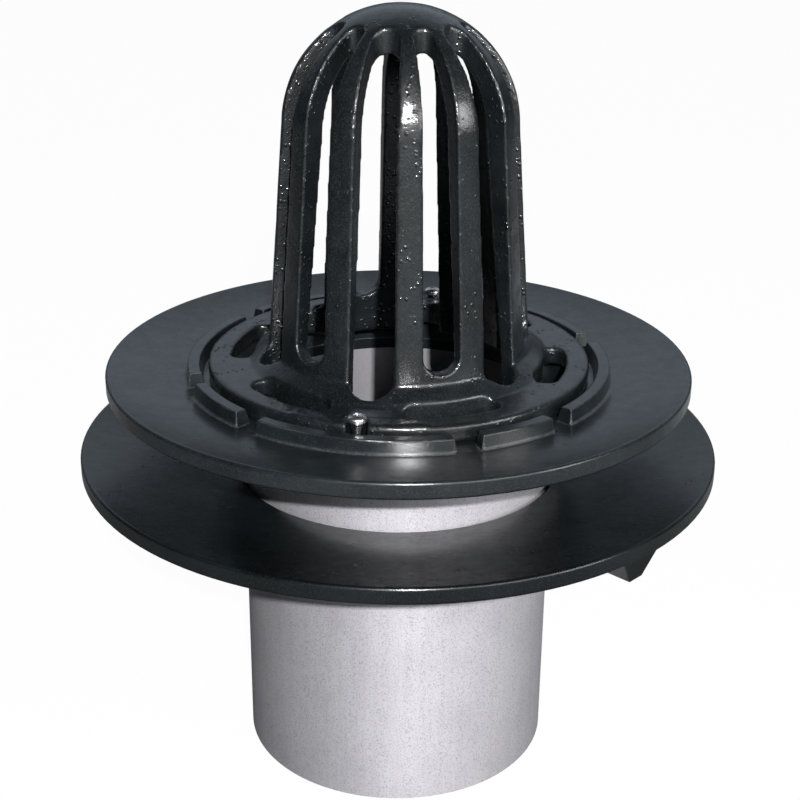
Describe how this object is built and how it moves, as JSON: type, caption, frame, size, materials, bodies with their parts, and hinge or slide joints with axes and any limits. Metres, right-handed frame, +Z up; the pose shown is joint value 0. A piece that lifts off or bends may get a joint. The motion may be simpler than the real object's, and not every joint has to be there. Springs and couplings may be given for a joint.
{
  "type": "flat roof drain",
  "caption": "Two-part flat roof drain: a dished lower flange on an outlet pipe, and a height-adjustable upper flange with a dome strainer.",
  "frame": {"origin": "centre of the cut end of the outlet pipe, on the drain's axis", "axes": "+Z up along the drain's axis, front towards -Y, +X to the right seen from the front"},
  "size_m": [0.3242, 0.3242, 0.3884],
  "materials": {
    "pipe": "satin light grey coat on a steel pipe",
    "casting": "gloss black coat on a rough casting",
    "strainer": "gloss black coat on a rough casting",
    "seal": "matt black rubber",
    "screws": "zinc plated"
  },
  "bodies": {
    "lower_unit": {"outlet_pipe": "pipe", "lower_flange": "casting", "socket_seal": "seal"},
    "upper_unit": {"spigot_pipe": "pipe", "upper_flange": "casting", "dome_strainer": "strainer", "strainer_screws": "screws"}
  },
  "joints": [
    {"name": "height_adjust", "type": "slide", "parent": "lower_unit", "child": "upper_unit", "axis": [0, 0, 1], "range_m": [-0.0025, 0.011]}
  ]
}
